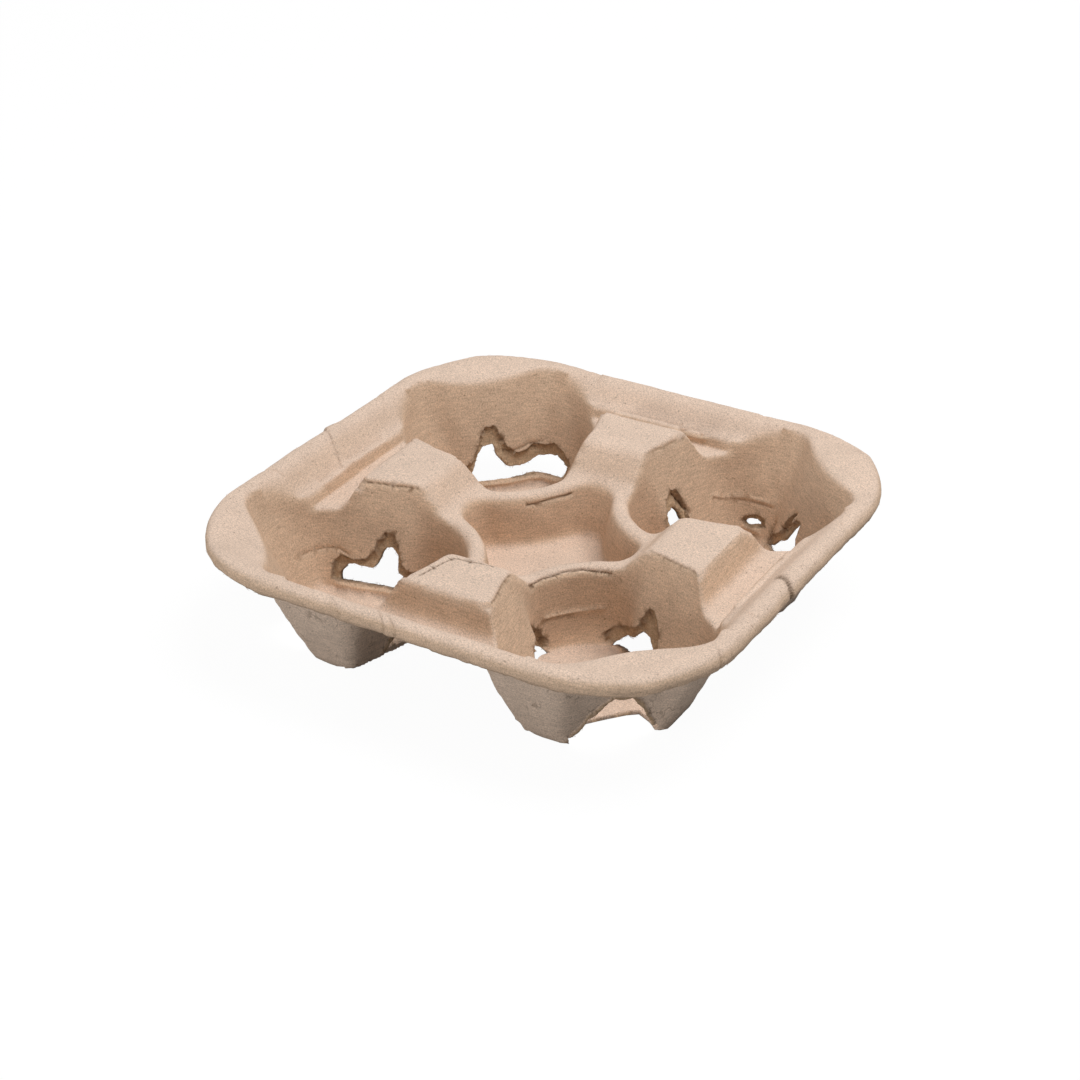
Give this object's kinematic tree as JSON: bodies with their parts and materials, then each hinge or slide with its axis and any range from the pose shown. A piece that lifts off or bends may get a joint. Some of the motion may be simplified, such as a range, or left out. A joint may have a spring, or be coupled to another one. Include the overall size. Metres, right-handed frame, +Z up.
{
  "type": "cup carrier tray",
  "caption": "Moulded-pulp carrier tray that holds drinking cups in tapered wells with torn openings, with hollow posts between them, a star-shaped recess in the middle and a rolled-down rim.",
  "frame": {"origin": "on the table, under the middle of the tray", "axes": "+Z up out of the wells; +X and +Y each run out through the middle of a side, over a post"},
  "size_m": [0.216, 0.216, 0.048],
  "materials": {
    "pulp": "matte"
  },
  "bodies": {
    "root": {"moulded_tray": "pulp"}
  },
  "joints": []
}
